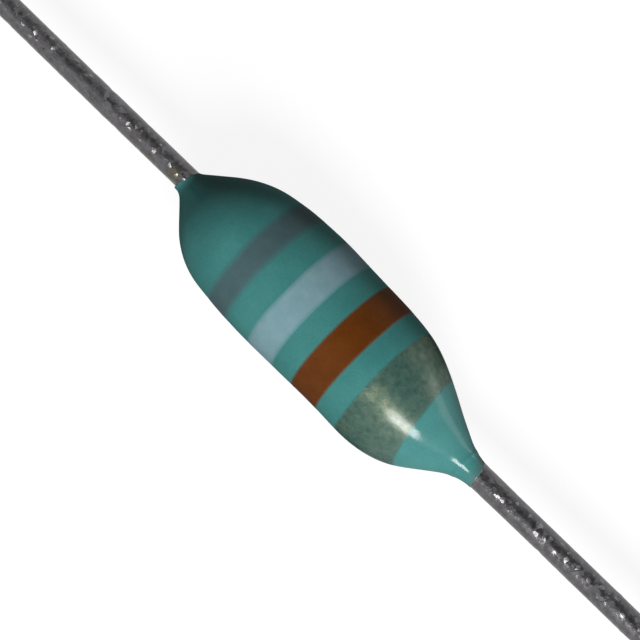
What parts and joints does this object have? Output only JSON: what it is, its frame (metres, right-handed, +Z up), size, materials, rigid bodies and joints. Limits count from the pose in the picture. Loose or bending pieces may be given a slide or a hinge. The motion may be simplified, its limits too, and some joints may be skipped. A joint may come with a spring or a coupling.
{
  "type": "axial inductor",
  "caption": "Dip-coated axial inductor: a wound ferrite drum core in a spindle-shaped teal epoxy coat with colour bands and a straight tinned wire lead at each end.",
  "frame": {"origin": "on the lead axis, midway between the two lips of the coat, which is also midway between the two lead ends", "axes": "+X along the leads, from the end that the first band is nearest to, towards the wide tolerance band; +Z up as the part lies"},
  "size_m": [0.0598, 0.0034, 0.0034],
  "materials": {
    "epoxy_coat": "glossy dip-coated epoxy, teal",
    "first_band": "slate grey band paint",
    "second_band": "pale blue-grey band paint",
    "multiplier_band": "brown band paint",
    "tolerance_band": "metallic flake band paint, pale gold-grey",
    "tinned_lead": "dull hot-tinned wire",
    "ferrite": "sintered ferrite, dark grey",
    "enamelled_wire": "enamelled copper wire",
    "solder": "solder",
    "adhesive": "cured amber adhesive"
  },
  "bodies": {
    "root": {"epoxy_coat": "epoxy_coat", "first_band": "first_band", "second_band": "second_band", "multiplier_band": "multiplier_band", "tolerance_band": "tolerance_band", "left_lead": "tinned_lead", "right_lead": "tinned_lead", "drum_core": "ferrite", "winding": "enamelled_wire", "left_solder_joint": "solder", "right_solder_joint": "solder", "left_lead_adhesive": "adhesive", "right_lead_adhesive": "adhesive"}
  },
  "joints": []
}
